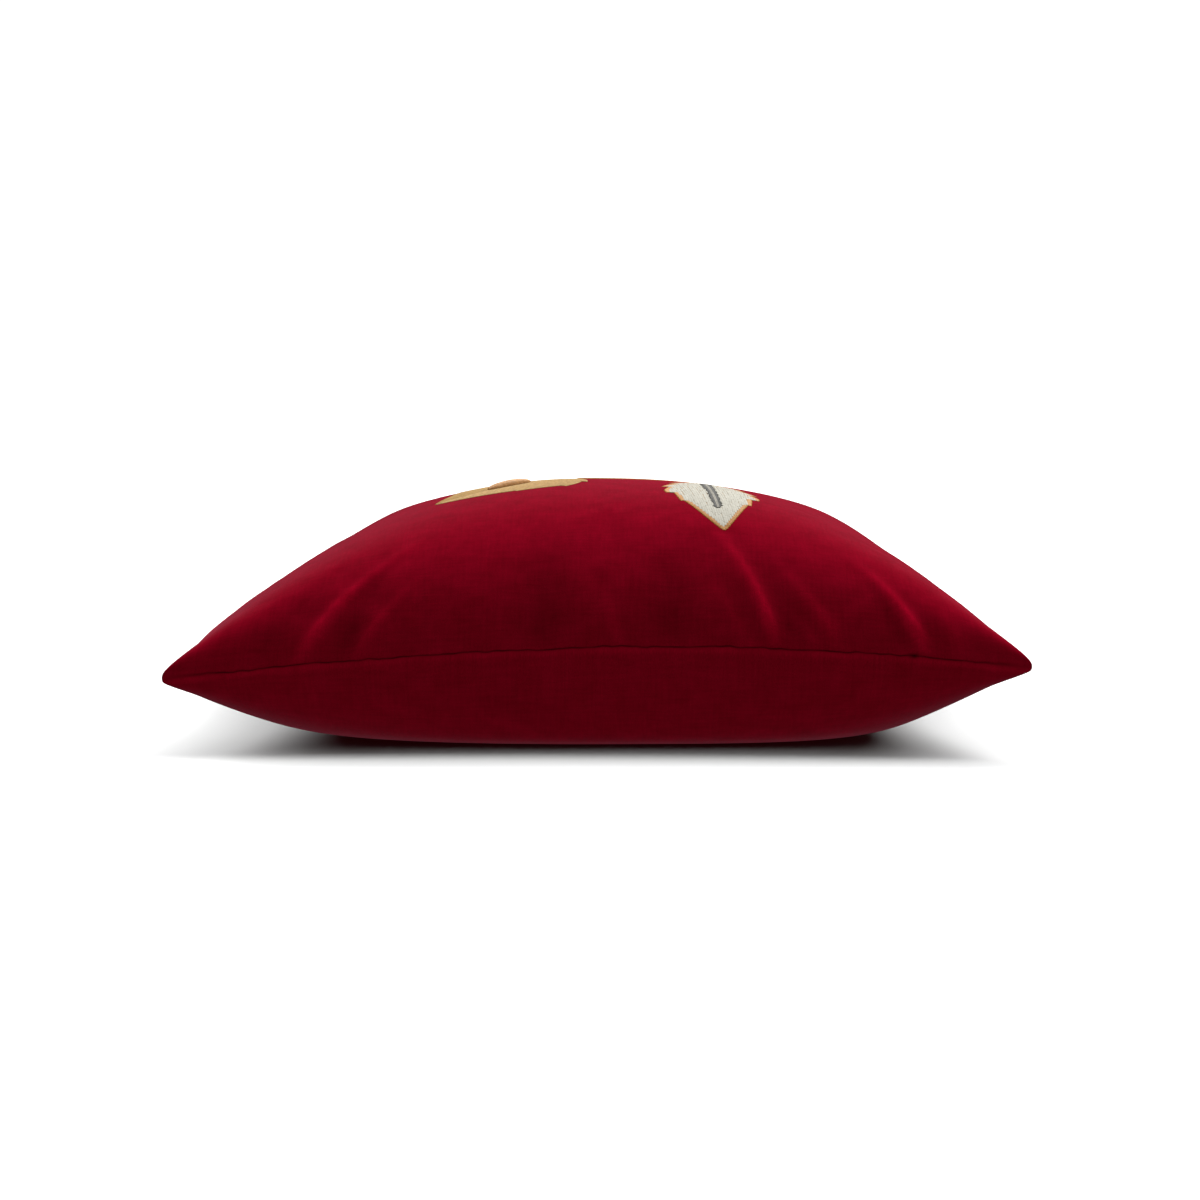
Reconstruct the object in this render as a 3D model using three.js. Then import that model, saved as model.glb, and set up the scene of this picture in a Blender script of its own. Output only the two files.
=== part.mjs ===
// Square knife-edge throw pillow, lying on its back with an embroidered leafy sprig on its face.
// Millimetres, +Z up. The origin is on the surface that carries the pillow, under the middle of
// its plan. X runs along the side that a low front view faces, and that side is at -Y.
import * as THREE from "three";

// The stuffed cover, in plan. Flat, each panel is 508 mm square inside its seam, and stuffing
// draws the corners in to about 490 mm.
const HALF_SPAN = 246; // middle of the pillow to where two sides would meet, along X and Y
const SIDE_DRAW_IN = 18.5; // how far the middle of a side lies inside the line of those points
const DRAW_IN_POWER = 1.7; // shape of that hollow: 2 is a parabola, less is nearer to a V
const CORNER_NOSE = 3; // how far a corner tip is rounded back, along X and along Y
const NOSE_POWER = 40; // how close to its tip a corner starts to round

// The seam round the edge, which droops to the corners.
const CORNER_LEVEL = { frontLeft: 46, frontRight: 52.5, backLeft: 50, backRight: 47 };
const SEAM_RISE = 13.5; // height of the seam at the middle of a side over the line of its corners
const SEAM_POWER = 1.8;
const SEAM_PEAK = 0.1; // share of the half span by which the front seam's high point lies to +X

// The crown over the level of the seam, and the belly under it. A quarter falls from the middle to
// its side as (1 - distance ^ power) ^ fullness, and rounding softens the top of that curve.
const CROWN_HEIGHT = 91;
const CROWN_PEAK = -0.04; // share of the half span by which the crown's top lies to +X
const CROWN_FALL = {
  left: { power: 2.25, rounding: 0.67, fullness: 0.97 },
  right: { power: 2.72, rounding: 0.02, fullness: 1.03 },
  front: { power: 2.96, rounding: 0.51, fullness: 0.84 },
  back: { power: 2.8, rounding: 0.5, fullness: 0.84 },
};
const CROWN_SQUARENESS = 3; // how sharply two quarters' falls meet on the line to their corner
const BELLY_DEPTH = 85;
const BELLY_FALL = {
  left: { power: 1.65, rounding: 0.02, fullness: 0.43 },
  right: { power: 2.81, rounding: 0.02, fullness: 0.65 },
  front: { power: 2.82, rounding: 0.1, fullness: 0.6 },
  back: { power: 2.7, rounding: 0.1, fullness: 0.6 },
};
// How much fuller the belly's corners are than its sides.
const BELLY_CORNER_FILL = { frontLeft: 0, frontRight: 0.07, backLeft: 0.03, backRight: 0.05 };
const FLOOR_SOFTNESS = 12.8; // height over which the belly bends into the flat that it rests on

const FOLD_RISE = 0.25; // share of its reach over which a fold rises from the seam
const FOLD_FADE = 1.5; // power with which it fades inwards

// Broad lumps and hollows of the filling under the upper panel: middle in plan, radius and height.
const SWELLS = [
  { x: -180, y: 0, radius: 42, height: -2 },
  { x: -128, y: -6, radius: 26, height: 2 },
  { x: 147, y: 4, radius: 38, height: 2.9 },
  { x: -60, y: 130, radius: 60, height: 2 },
  { x: 70, y: -120, radius: 60, height: 1.4 },
];

// Soft folds in the upper panel. Each starts at a side's seam, `at` mm from the side's middle,
// runs `reach` mm inwards while it leans `lean` mm along the side, and stands `height` mm proud
// (or lies that deep) at its thickest, `width` mm either way from its line.
const FOLDS = [
  { side: "front", at: -170, lean: 66, reach: 96, width: 10, height: 3 },
  { side: "front", at: -146, lean: 26, reach: 80, width: 10, height: -2.8 },
  { side: "front", at: -31, lean: 3, reach: 104, width: 15, height: -2.2 },
  { side: "front", at: 42, lean: 2, reach: 98, width: 15, height: -2 },
  { side: "front", at: 105, lean: -40, reach: 96, width: 10, height: 3 },
  { side: "front", at: 118, lean: -34, reach: 84, width: 10, height: -2.2 },
  { side: "front", at: 187, lean: -38, reach: 62, width: 9, height: 3 },
  { side: "front", at: 172, lean: -28, reach: 46, width: 9, height: -2.8 },
  { side: "right", at: -140, lean: 40, reach: 80, width: 18, height: 1.1 },
  { side: "right", at: 44, lean: -8, reach: 84, width: 14, height: -2.2 },
  { side: "right", at: 128, lean: -34, reach: 64, width: 10, height: -2.2 },
  { side: "right", at: 166, lean: -48, reach: 84, width: 10, height: 3.2 },
  { side: "back", at: -178, lean: 44, reach: 82, width: 10, height: 3.2 },
  { side: "back", at: -112, lean: 26, reach: 56, width: 10, height: -2.4 },
  { side: "back", at: -88, lean: 22, reach: 66, width: 10, height: 2.6 },
  { side: "back", at: 16, lean: 6, reach: 96, width: 14, height: -2.2 },
  { side: "back", at: 96, lean: -26, reach: 74, width: 10, height: 2.8 },
  { side: "back", at: 176, lean: -40, reach: 78, width: 10, height: -2.8 },
  { side: "left", at: -161, lean: 44, reach: 78, width: 23, height: 3.2 },
  { side: "left", at: 30, lean: 4, reach: 90, width: 14, height: -2.2 },
  { side: "left", at: 118, lean: -30, reach: 72, width: 10, height: 3 },
  { side: "left", at: 142, lean: -34, reach: 60, width: 10, height: -2.6 },
];

// The sprig, in mm over the upper panel from its middle. A leaf springs from `root`, points along
// `heading` degrees from +X towards +Y, and is `length` long with its stalk. `sweep` is how far
// its tip swings to the left of the heading.
const LEAVES = [
  { name: "leaf_ivory_front", thread: "ivory", root: [66, 36], heading: -89,
    length: 197, stalk: 35, halfWidth: 28.5, sweep: 5, teeth: 4 },
  { name: "leaf_gold_left", thread: "gold", root: [-14.5, 22], heading: 240,
    length: 118, stalk: 8, halfWidth: 46, sweep: -30, teeth: 3 },
  { name: "leaf_ivory_back_left", thread: "ivory", root: [3, 29.5], heading: 138,
    length: 138, stalk: 24, halfWidth: 23, sweep: -9, teeth: 4 },
  { name: "leaf_gold_back", thread: "gold", root: [31, 33.5], heading: 96,
    length: 126, stalk: 22, halfWidth: 22, sweep: 7, teeth: 4 },
  { name: "leaf_ivory_back_right", thread: "ivory", root: [72, 47.5], heading: 57,
    length: 128, stalk: 20, halfWidth: 23, sweep: 8, teeth: 4 },
];
const WIDEST = 0.5; // share of its length at which a blade is widest
const BASE_BOW = 0.8; // how full a blade is towards its stalk, fuller as this gets less
const TAPER = 0.8; // 1 is a straight taper to the tip, less is a bowed one
const TOOTHED = { from: 0.1, to: 0.7 }; // shares of the blade between which it has teeth
const TOOTH_DEPTH = 4.5;
const TOOTH_POINT = 0.6; // share of a tooth's length at which its point springs
const TOOTH_LEAD = 0.4; // how far a tooth's point leans to the tip, as a share of its length
const SMOOTH_SHARES = [0.78, 0.86, 0.94]; // where the smooth part of a blade bends
const STALK_HALF_WIDTH = 1.6;
const TIP_HALF_WIDTH = 0.7;

// What lies on the middle of a blade, between two shares of its length: a narrow vein on ivory,
// and a padded bud on gold.
const MIDDLE_STEPS = 8;
const MIDDLE_END = 0.35; // how blunt its ends are, in steps
const MIDDLE_BOW = 0.6; // how full it is, fuller as this gets less
const MIDDLES = {
  ivory: { node: "vein_grey", from: 0.1, to: 0.78, halfWidth: 3.2, thickness: 0.8 },
  gold: { node: "bud_copper", from: 0.36, to: 0.66, halfWidth: 5.5, thickness: 2.8 },
};

// The sprig's stem, from its cut end to the root of the last leaf.
const STEM = {
  from: [136, 70],
  bend: [60, 30],
  to: [-12, 24],
  halfWidth: 2,
  cutHalfWidth: 3,
  cutShare: 0.33, // share of its length over which the cut end thins to the rest
  rimThickness: 0.9,
  crest: 0.8, // how much thicker it is along its middle than at its rims
  steps: 14,
};

// Layers of needlework over the cloth.
const CLOTH_GAP = 0.4;
const PATCH_THICKNESS = 1.2;
const VEIN_GAP = 0.35;

const PANEL_CELLS = 54; // cells along each side of a panel
const CELLS_TO_EDGE = 0.7; // 0 spaces the cells evenly, 1 packs them close to the seam

const COLOURS = {
  velvet: { color: 0x7a0312, roughness: 0.95 },
  ivory: { color: 0xd9d3c4, roughness: 0.7 },
  gold: { color: 0xbf9a62, roughness: 0.6 },
  grey: { color: 0x6b6a66, roughness: 0.7 },
  copper: { color: 0xc48d5e, roughness: 0.55 },
};

function material(thread) {
  return new THREE.MeshStandardMaterial({ ...COLOURS[thread], metalness: 0 });
}

// One quarter's fall from 1 in the middle to 0 at its side, for a share s of the way there.
function fall(s, { power, rounding, fullness }, cornerFill = 0) {
  const soft = (x) => (x * x + rounding * rounding) ** (power / 2) - rounding ** power;
  return Math.max(0, 1 - soft(Math.abs(s)) / soft(1)) ** (fullness - cornerFill);
}

// A value that is given at the four corners, at the shares (u, v) between them.
function amongCorners({ frontLeft, frontRight, backLeft, backRight }, u, v) {
  const front = THREE.MathUtils.lerp(frontLeft, frontRight, (u + 1) / 2);
  const back = THREE.MathUtils.lerp(backLeft, backRight, (u + 1) / 2);
  return THREE.MathUtils.lerp(front, back, (v + 1) / 2);
}

// Moves the middle of the share u, from -1 to 1, to peak, and keeps its ends.
function shifted(u, peak) {
  return (u - peak) / (u < peak ? 1 + peak : 1 - peak);
}

// Height of the seam's own surface at the shares (u, v) of the half span along X and Y.
function seamLevel(u, v) {
  const archU = 1 - Math.abs(shifted(u, SEAM_PEAK)) ** SEAM_POWER;
  const archV = 1 - Math.abs(v) ** SEAM_POWER;
  const arch = archU * v * v + archV * u * u + (1 - u * u) * (1 - v * v);
  return amongCorners(CORNER_LEVEL, u, v) + SEAM_RISE * arch;
}

// Place in plan of the shares (u, v), with the sides drawn in and the corner tips rounded.
function plan(u, v) {
  const nose = CORNER_NOSE * Math.abs(u * v) ** NOSE_POWER;
  const along = (s, other) => {
    const drawIn = SIDE_DRAW_IN * (1 - Math.abs(other) ** DRAW_IN_POWER) * s * s;
    return s * (HALF_SPAN - drawIn - nose);
  };
  return [along(u, v), along(v, u)];
}

// How proud the lumps and folds stand at the shares (u, v).
function unevenness(u, v) {
  let lift = 0;
  for (const swell of SWELLS) {
    const away = Math.hypot(u * HALF_SPAN - swell.x, v * HALF_SPAN - swell.y) / swell.radius;
    lift += swell.height * Math.exp(-away * away);
  }
  for (const fold of FOLDS) {
    const along = (fold.side === "front" || fold.side === "back" ? u : v) * HALF_SPAN;
    const depth = { front: 1 + v, back: 1 - v, left: 1 + u, right: 1 - u }[fold.side];
    const share = (depth * HALF_SPAN) / fold.reach;
    if (share >= 1) continue;
    const off = along - fold.at - fold.lean * share;
    const swell = Math.min(1, share / FOLD_RISE) * (1 - share) ** FOLD_FADE;
    lift += fold.height * swell * Math.exp(-((off / fold.width) ** 2));
  }
  return lift;
}

function quarter(falls, s, names) {
  return falls[s < 0 ? names[0] : names[1]];
}

// Joins the falls along X and along Y: near a side its own fall rules, and the two meet in a soft
// ridge that runs to the corner.
function meeting(a, b, squareness) {
  if (a === 0 || b === 0) return 0;
  return (a ** -squareness + b ** -squareness - 1) ** (-1 / squareness);
}

function crownPoint(u, v) {
  const su = shifted(u, CROWN_PEAK);
  const across = fall(su, quarter(CROWN_FALL, su, ["left", "right"]));
  const along = fall(v, quarter(CROWN_FALL, v, ["front", "back"]));
  const z = seamLevel(u, v) + CROWN_HEIGHT * meeting(across, along, CROWN_SQUARENESS);
  const [x, y] = plan(u, v);
  return new THREE.Vector3(x, y, z + unevenness(u, v));
}

function bellyPoint(u, v) {
  const corner = amongCorners(BELLY_CORNER_FILL, u, v) * (u * v) ** 2;
  const bowl =
    fall(u, quarter(BELLY_FALL, u, ["left", "right"]), corner) *
    fall(v, quarter(BELLY_FALL, v, ["front", "back"]), corner);
  const hanging = seamLevel(u, v) - BELLY_DEPTH * bowl;
  const [x, y] = plan(u, v);
  return new THREE.Vector3(x, y, restedOnFloor(hanging));
}

// A height that would sink under the floor lies on it, and one just over it bends into it.
function restedOnFloor(z) {
  if (z <= -FLOOR_SOFTNESS) return 0;
  if (z >= FLOOR_SOFTNESS) return z;
  return (z + FLOOR_SOFTNESS) ** 2 / (4 * FLOOR_SOFTNESS);
}

// The point that lies `lift` mm over the upper panel, at (x, y) mm over it from its middle. The
// panel's slope there is taken over a small step to either side.
function overCloth(x, y, lift) {
  const step = 0.002;
  const [u, v] = [x / HALF_SPAN, y / HALF_SPAN];
  const alongU = crownPoint(u + step, v).sub(crownPoint(u - step, v));
  const alongV = crownPoint(u, v + step).sub(crownPoint(u, v - step));
  const up = alongU.cross(alongV).normalize();
  return crownPoint(u, v).addScaledVector(up, lift);
}

function meshFrom(name, points, triangles, thread) {
  const geometry = new THREE.BufferGeometry().setFromPoints(points);
  geometry.setIndex(triangles);
  geometry.computeVertexNormals();
  const mesh = new THREE.Mesh(geometry, material(thread));
  mesh.name = name;
  return mesh;
}

// The filled cover: an upper and a lower panel that share the points of their seam.
function cushion() {
  const points = [];
  const triangles = [];
  const share = (i) => {
    const even = (2 * i) / PANEL_CELLS - 1;
    return THREE.MathUtils.lerp(even, Math.sin((even * Math.PI) / 2), CELLS_TO_EDGE);
  };
  const isSeam = (i, j) => i % PANEL_CELLS === 0 || j % PANEL_CELLS === 0;
  const seamIndex = new Map();

  for (const [pointAt, facesUp] of [[crownPoint, true], [bellyPoint, false]]) {
    const indexAt = [];
    for (let i = 0; i <= PANEL_CELLS; i++) {
      indexAt.push([]);
      for (let j = 0; j <= PANEL_CELLS; j++) {
        const key = `${i},${j}`;
        if (isSeam(i, j) && seamIndex.has(key)) {
          indexAt[i].push(seamIndex.get(key));
          continue;
        }
        if (isSeam(i, j)) seamIndex.set(key, points.length);
        indexAt[i].push(points.length);
        points.push(pointAt(share(i), share(j)));
      }
    }
    for (let i = 0; i < PANEL_CELLS; i++) {
      for (let j = 0; j < PANEL_CELLS; j++) {
        const [a, b] = [indexAt[i][j], indexAt[i + 1][j]];
        const [c, d] = [indexAt[i + 1][j + 1], indexAt[i][j + 1]];
        // The diagonal of each cell runs towards the middle, so that it never flattens a corner.
        const towardsMiddle = i < PANEL_CELLS / 2 === j < PANEL_CELLS / 2;
        const cell = towardsMiddle ? [a, b, c, a, c, d] : [a, b, d, b, c, d];
        triangles.push(...(facesUp ? cell : cell.reverse()));
      }
    }
  }
  return meshFrom("cushion", points, triangles, "velvet");
}

const ACROSS = [-1, -0.5, 0, 0.5, 1]; // columns of points across a strip, as shares of half widths

// A thin closed strip laid on the cloth. Each row across it has its middle, its half width, the
// directions across it and ahead, and how far its rims lead. `layer` gives the lift of the strip's
// two faces over the cloth, and how far its middle stands over its rims.
function strip(name, rows, layer, thread) {
  const points = [];
  const columns = ACROSS.length;
  for (const lift of ["under", "upper"]) {
    for (const row of rows) {
      for (const c of ACROSS) {
        const rim = c * c * row.lead;
        const x = row.middle[0] + row.across[0] * c * row.halfWidth + row.ahead[0] * rim;
        const y = row.middle[1] + row.across[1] * c * row.halfWidth + row.ahead[1] * rim;
        const crest = lift === "upper" ? layer.crest * (1 - c * c) * row.crestShare : 0;
        points.push(overCloth(x, y, layer[lift] + crest));
      }
    }
  }
  const under = (r, c) => r * columns + c;
  const upper = (r, c) => (rows.length + r) * columns + c;
  const last = { row: rows.length - 1, column: columns - 1 };
  const triangles = [];
  const quad = (a, b, c, d) => triangles.push(a, c, b, a, d, c);
  for (let r = 0; r < last.row; r++) {
    for (let c = 0; c < last.column; c++) {
      quad(upper(r, c), upper(r + 1, c), upper(r + 1, c + 1), upper(r, c + 1));
      quad(under(r, c), under(r, c + 1), under(r + 1, c + 1), under(r + 1, c));
    }
    quad(under(r, 0), under(r + 1, 0), upper(r + 1, 0), upper(r, 0));
    quad(under(r, last.column), upper(r, last.column),
      upper(r + 1, last.column), under(r + 1, last.column));
  }
  for (let c = 0; c < last.column; c++) {
    quad(under(0, c), upper(0, c), upper(0, c + 1), under(0, c + 1));
    quad(under(last.row, c), under(last.row, c + 1), upper(last.row, c + 1), upper(last.row, c));
  }
  return meshFrom(name, points, triangles, thread);
}

// A row across a leaf, `distance` mm from its root along its midrib.
function leafRow(facts, distance, halfWidth, lead = 0, crestShare = 1) {
  const heading = THREE.MathUtils.degToRad(facts.heading);
  const forward = [Math.cos(heading), Math.sin(heading)];
  const left = [-forward[1], forward[0]];
  const swing = facts.sweep * (distance / facts.length) ** 2;
  const turn = Math.atan((2 * facts.sweep * distance) / facts.length ** 2);
  const ahead = [Math.cos(heading + turn), Math.sin(heading + turn)];
  return {
    middle: [0, 1].map((k) => facts.root[k] + forward[k] * distance + left[k] * swing),
    across: [ahead[1], -ahead[0]],
    ahead,
    halfWidth,
    lead,
    crestShare,
  };
}

// Half width of a blade at a share of its own length, without its teeth.
function bladeHalfWidth(facts, share) {
  const bow =
    share < WIDEST
      ? Math.sin((Math.PI / 2) * (share / WIDEST)) ** BASE_BOW
      : ((1 - share) / (1 - WIDEST)) ** TAPER;
  const narrowest = share < WIDEST ? STALK_HALF_WIDTH : TIP_HALF_WIDTH;
  return THREE.MathUtils.lerp(narrowest, facts.halfWidth, bow);
}

function leaf(facts) {
  const blade = facts.length - facts.stalk;
  const toothShare = (TOOTHED.to - TOOTHED.from) / facts.teeth;
  const lead = TOOTH_LEAD * toothShare * blade;
  const bladeRow = (share, proud, rowLead) =>
    leafRow(facts, facts.stalk + share * blade, bladeHalfWidth(facts, share) + proud, rowLead);
  const rows = [leafRow(facts, 0, STALK_HALF_WIDTH), leafRow(facts, facts.stalk, STALK_HALF_WIDTH)];
  for (let tooth = 0; tooth < facts.teeth; tooth++) {
    const start = TOOTHED.from + tooth * toothShare;
    rows.push(bladeRow(start, -TOOTH_DEPTH / 2, 0));
    rows.push(bladeRow(start + TOOTH_POINT * toothShare, TOOTH_DEPTH / 2, lead));
  }
  rows.push(bladeRow(TOOTHED.to, 0, lead / 3));
  for (const share of SMOOTH_SHARES) rows.push(bladeRow(share, 0, 0));
  rows.push(leafRow(facts, facts.length, TIP_HALF_WIDTH));
  const layer = { under: CLOTH_GAP, upper: CLOTH_GAP + PATCH_THICKNESS, crest: 0 };
  return strip(facts.name, rows, layer, facts.thread);
}

function middle(facts) {
  const { node, from, to, halfWidth, thickness } = MIDDLES[facts.thread];
  const blade = facts.length - facts.stalk;
  const rows = [];
  for (let i = 0; i <= MIDDLE_STEPS; i++) {
    const turn = (i + MIDDLE_END) / (MIDDLE_STEPS + 2 * MIDDLE_END);
    const bow = Math.sin(Math.PI * turn) ** MIDDLE_BOW;
    const distance = facts.stalk + blade * THREE.MathUtils.lerp(from, to, i / MIDDLE_STEPS);
    rows.push(leafRow(facts, distance, halfWidth * bow, 0, bow));
  }
  const under = CLOTH_GAP + PATCH_THICKNESS + VEIN_GAP;
  const layer = { under, upper: under + thickness / 2, crest: thickness / 2 };
  const name = facts.name.replace("leaf_" + facts.thread, node);
  return strip(name, rows, layer, node.split("_")[1]);
}

function stem() {
  const ends = [STEM.from, STEM.bend, STEM.to].map(([x, y]) => new THREE.Vector2(x, y));
  const curve = new THREE.QuadraticBezierCurve(...ends);
  const rows = [];
  for (let i = 0; i <= STEM.steps; i++) {
    const share = i / STEM.steps;
    const { x, y } = curve.getPointAt(share);
    const ahead = curve.getTangentAt(share).toArray();
    const thinned = Math.min(1, share / STEM.cutShare);
    const halfWidth = THREE.MathUtils.lerp(STEM.cutHalfWidth, STEM.halfWidth, thinned);
    const across = [ahead[1], -ahead[0]];
    rows.push({ middle: [x, y], across, ahead, halfWidth, lead: 0, crestShare: 1 });
  }
  const layer = { under: CLOTH_GAP, upper: CLOTH_GAP + STEM.rimThickness, crest: STEM.crest };
  return strip("stem_gold", rows, layer, "gold");
}

const pillow = new THREE.Group();
pillow.add(cushion(), stem());
for (const facts of LEAVES) pillow.add(leaf(facts), middle(facts));

export default pillow;
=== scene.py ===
import math

import bpy
import numpy as np
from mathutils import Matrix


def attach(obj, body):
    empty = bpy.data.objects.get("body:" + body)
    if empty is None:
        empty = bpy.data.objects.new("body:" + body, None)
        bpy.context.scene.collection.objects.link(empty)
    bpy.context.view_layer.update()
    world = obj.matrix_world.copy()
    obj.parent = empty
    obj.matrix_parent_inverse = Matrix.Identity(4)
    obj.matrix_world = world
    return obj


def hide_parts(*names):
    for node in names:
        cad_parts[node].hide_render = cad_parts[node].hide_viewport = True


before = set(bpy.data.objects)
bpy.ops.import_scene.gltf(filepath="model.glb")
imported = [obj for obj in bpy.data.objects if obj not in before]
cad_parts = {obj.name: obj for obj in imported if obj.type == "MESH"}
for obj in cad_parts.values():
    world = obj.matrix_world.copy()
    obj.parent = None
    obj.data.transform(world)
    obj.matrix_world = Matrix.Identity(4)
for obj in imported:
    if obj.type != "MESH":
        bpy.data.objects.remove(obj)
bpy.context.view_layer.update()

MM = 0.001
rng = np.random.default_rng(20)

# The stuffed cover in plan, as in the solids. Shares u and v run from -1 to 1 along X and Y.
HALF_SPAN = 246.0
SIDE_DRAW_IN = 18.5
DRAW_IN_POWER = 1.7
CORNER_NOSE = 3.0
NOSE_POWER = 40.0

# The seam round the edge.
CORNER_LEVEL = {"front_left": 46.0, "front_right": 52.5, "back_left": 50.0, "back_right": 47.0}
SEAM_RISE = 13.5
SEAM_POWER = 1.8
SEAM_PEAK = 0.1

# The crown over the seam and the belly under it: power, rounding and fullness of each quarter.
CROWN_HEIGHT = 91.0
CROWN_PEAK = -0.04
CROWN_FALL = {
    "left": (2.25, 0.67, 0.97),
    "right": (2.72, 0.02, 1.03),
    "front": (2.96, 0.51, 0.84),
    "back": (2.8, 0.5, 0.84),
}
CROWN_SQUARENESS = 3.0
BELLY_DEPTH = 85.0
BELLY_FALL = {
    "left": (1.65, 0.02, 0.43),
    "right": (2.81, 0.02, 0.65),
    "front": (2.82, 0.1, 0.6),
    "back": (2.7, 0.1, 0.6),
}
BELLY_CORNER_FILL = {"front_left": 0.0, "front_right": 0.07, "back_left": 0.03, "back_right": 0.05}
FLOOR_SOFTNESS = 12.8

# Broad lumps and hollows of the filling: x, y, radius, height.
SWELLS = [
    (-180, 0, 42, -2.0),
    (-128, -6, 26, 2.0),
    (147, 4, 38, 2.9),
    (-60, 130, 60, 2.0),
    (70, -120, 60, 1.4),
]

# Soft folds from a seam inwards: side, place along it, lean, reach, width, height.
FOLDS = [
    ("front", -168, 76, 100, 4.8, 3.4),
    ("front", -144, 30, 80, 6.5, -3.0),
    ("front", -190, 64, 92, 9, -1.8),
    ("front", -137, 42, 52, 3.8, 2.4),
    ("front", -31, 3, 104, 14, -2.4),
    ("front", 12, -14, 44, 3.5, 1.3),
    ("front", 42, 2, 98, 14, -2.2),
    ("front", 87, -28, 40, 3.5, 1.7),
    ("front", 92, -34, 62, 7, -1.2),
    ("front", 101, -38, 100, 3.9, 4.4),
    ("front", 114, -34, 84, 7, -2.0),
    ("front", 124, -30, 34, 3.0, 1.6),
    ("front", 136, -36, 56, 4.0, 2.0),
    ("front", 174, -24, 44, 6, -2.0),
    ("front", 185, -38, 66, 4.0, 4.9),
    ("front", 206, -20, 40, 4.5, 1.6),
    ("right", -140, 40, 80, 18, 1.1),
    ("right", 44, -8, 84, 14, -2.2),
    ("right", 128, -34, 64, 8, -2.6),
    ("right", 166, -48, 84, 7, 3.4),
    ("back", -178, 44, 82, 7, 3.4),
    ("back", -112, 26, 56, 8, -2.8),
    ("back", -88, 22, 66, 6, 2.6),
    ("back", 16, 6, 96, 14, -2.2),
    ("back", 96, -26, 74, 6, 3.0),
    ("back", 176, -40, 78, 8, -3.0),
    ("left", -161, 44, 78, 23, 3.2),
    ("left", 30, 4, 90, 14, -2.2),
    ("left", 118, -30, 72, 6, 3.0),
    ("left", 142, -34, 60, 8, -3.0),
]
FOLD_RISE = 13.0
FOLD_FADE = 1.5

# Places along the seam where a fold pinches it, with painted shade in the pucker: side, place.
PINCHES = (("front", 178), ("right", 158), ("back", -170), ("left", 112))
PINCH_WIDTH = 2.6
PINCH_REACH = 20.0
PINCH_DEPTH = 0.8
PINCH_SHADOW = 1.3

# The seam itself: the panels puff out a little beside a stitched line, which fades at the tips,
# where the turned-in cloth makes a blunt nose. Its dark colour is partly the parted pile in the seam
# and partly painted shade in the groove.
SEAM_PUFF = 0.2
PUFF_RISE = 0.9
PUFF_FADE = 4.0
SEAM_GROOVE = 0.25
SEAM_WIDTH = 0.45
SEAM_DARKNESS = 0.85
TIP_REACH = 42.0
TIP_THICKNESS = 1.5
TIP_ROUND = 2.4
TIP_PALENESS = 0.9

# The sewn line wanders up and down, and its dark colour, partly painted shade in the groove, is drawn
# unevenly. Each row is a share, and the waves whose product it weighs, by their length over 2 pi and
# their start in radians.
SEAM_WAVES = (
    (1.0, ((6.1, 0.0), (17.0, 0.8))),
    (0.8, ((12.7, 1.3),)),
    (1.3, ((1.9, 0.0), (7.3, 0.6), (23.0, 1.0))),
)
SEAM_WAVE = 0.36
SEAM_WAVE_FADE = 5.0
DARKNESS_WAVES = (
    (0.8, ()),
    (0.2, ((3.1, 0.0), (8.3, 2.0))),
)

# Painted light on the pile: a painted highlight on the lower panel's lip, and painted highlights on
# fold crests with painted shade in fold hollows, strongest at the front and least at the back.
LIP_HIGHLIGHT = 0.26
LIP_PLACE = 2.2
LIP_WIDTH = 1.9
FOLD_LIGHT_FULL = 3.4
FOLD_LIGHT_MIDDLE = 0.3
FOLD_LIGHT_FRONT = 1.2
FOLD_LIGHT_LEAST = 0.35

# Mesh rows beside the seam, by their distance from it, the size of a cell on the panels, and how many
# metres along the same velvet the lower panel is cut.
SEAM_RINGS = (0.03, 0.08, 0.18, 0.35, 0.6, 1.0, 1.6, 2.4, 3.4, 4.8, 6.6, 8.6)
CELL = 2.8
UNDER_CLOTH_SHIFT = (1.0, 0.0)

# The cloth simulation: cells across a panel, frames, the height under which the belly is held, how
# much too large the cover is cut, and the settings of its cloth.
SETTLE_CELLS = 72
SETTLE_FRAMES = 24
SETTLE_HELD_UNDER = 0.5
SETTLE_EXCESS = 0.015
SETTLE_CLOTH = {
    "quality": 6,
    "mass": 0.3,
    "tension_stiffness": 20,
    "compression_stiffness": 20,
    "shear_stiffness": 8,
    "bending_stiffness": 0.4,
    "use_pressure": True,
    "uniform_pressure_force": 3.0,
    "shrink_min": -SETTLE_EXCESS,
}

# How its wrinkles are kept: the reach, in cells, of the average that is left out, the share kept, the
# largest move, and the distance from a tip and the height over the floor at which they are whole.
SETTLE_BROAD = 4
SETTLE_KEPT = 0.32
SETTLE_CAP = 1.0
SETTLE_CALM_TIP = 125.0
SETTLE_CALM_FLOOR = 40.0


def mix(a, b, share):
    return a + (b - a) * share


def bell(distance):
    """1 in the middle, falling softly to both sides."""
    return np.exp(-(distance**2))


def waves(at, rows):
    """A sum over rows, each a share times its waves at places along a line."""
    total = 0.0
    for share, factors in rows:
        product = share
        for length, start in factors:
            product = product * np.sin(at / length + start)
        total = total + product
    return total


def among_corners(values, u, v):
    """Blends values given at the four corners."""
    front = mix(values["front_left"], values["front_right"], (u + 1) / 2)
    back = mix(values["back_left"], values["back_right"], (u + 1) / 2)
    return mix(front, back, (v + 1) / 2)


def shifted(u, peak):
    """Moves the middle of a share to a peak and keeps both ends."""
    return np.where(u < peak, (u - peak) / (1 + peak), (u - peak) / (1 - peak))


def fall(s, shape, corner_fill=0.0):
    """One quarter's fall from 1 in the middle to 0 at its side."""
    power, rounding, fullness = shape

    def soft(x):
        return (x * x + rounding * rounding) ** (power / 2) - rounding**power

    return np.clip(1 - soft(np.abs(s)) / soft(1.0), 0, 1) ** (fullness - corner_fill)


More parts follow.
